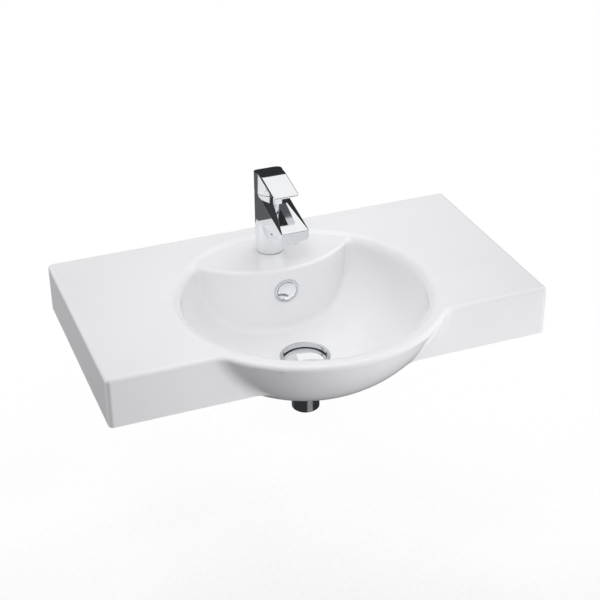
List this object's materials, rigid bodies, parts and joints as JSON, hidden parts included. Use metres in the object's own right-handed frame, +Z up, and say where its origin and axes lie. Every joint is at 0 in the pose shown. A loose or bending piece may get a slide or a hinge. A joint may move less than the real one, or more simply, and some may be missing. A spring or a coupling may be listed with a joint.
{
  "type": "wall-hung basin",
  "caption": "White wall-hung basin: a flat slab deck with a round bowl that stands out in front, with a single-lever mixer, an overflow and a push-plug waste.",
  "frame": {"origin": "on the wall plane, midway between the two wall-fixing holes", "axes": "+X along the wall, to the right as seen from the front; +Y into the wall; +Z up"},
  "size_m": [0.65, 0.421, 0.3288],
  "materials": {
    "glaze": "gloss",
    "chrome": "polished",
    "brass": "machined",
    "steel": "zinc plated",
    "rubber": "matte",
    "white_plastic": "moulded",
    "grey_plastic": "moulded",
    "dark_plastic": "gloss",
    "disc_ceramic": "lapped"
  },
  "bodies": {
    "basin_set": {"basin": "glaze", "overflow_ring": "chrome", "overflow_cap": "chrome", "waste_body": "chrome", "waste_top_seal": "rubber", "waste_bottom_seal": "rubber", "waste_backnut": "chrome", "plug_guide": "grey_plastic", "tap_body": "chrome", "temperature_dot": "dark_plastic", "tap_base_gasket": "rubber", "tap_stud": "steel", "horseshoe_gasket": "rubber", "horseshoe_plate": "steel", "stud_nut": "brass", "aerator_housing": "chrome", "aerator_insert": "grey_plastic", "aerator_washer": "rubber", "cartridge_base": "white_plastic", "cartridge_seals": "rubber", "fixed_disc": "disc_ceramic", "cartridge_housing": "white_plastic", "cartridge_nut": "brass", "cartridge_dome": "chrome"},
    "plug": {"plug_cap": "chrome", "plug_seal": "rubber", "plug_stem": "brass"},
    "rotor": {"spindle_guide": "grey_plastic", "spindle_pin": "steel"},
    "lever": {"lever": "chrome", "spindle": "brass", "lever_screw": "steel", "lever_plug": "dark_plastic"},
    "disc": {"moving_disc": "disc_ceramic", "disc_carrier": "white_plastic"}
  },
  "joints": [
    {"name": "temperature_turn", "type": "hinge", "parent": "basin_set", "child": "rotor", "pos_m": [0, -0.07, 0.142], "axis": [0, 0, 1], "range_deg": [-45, 45]},
    {"name": "lever_lift", "type": "hinge", "parent": "rotor", "child": "lever", "pos_m": [0, -0.07, 0.133], "axis": [-1, 0, 0], "range_deg": [0, 22]},
    {"name": "disc_slide", "type": "slide", "parent": "rotor", "child": "disc", "axis": [0, -1, 0], "range_m": [0, 0.0043]},
    {"name": "plug_lift", "type": "slide", "parent": "basin_set", "child": "plug", "axis": [0, 0, 1], "range_m": [0, 0.0065]}
  ],
  "couplings": [
    {"joint": "disc_slide", "follows": "lever_lift", "m_per_rad": 0.0109}
  ]
}
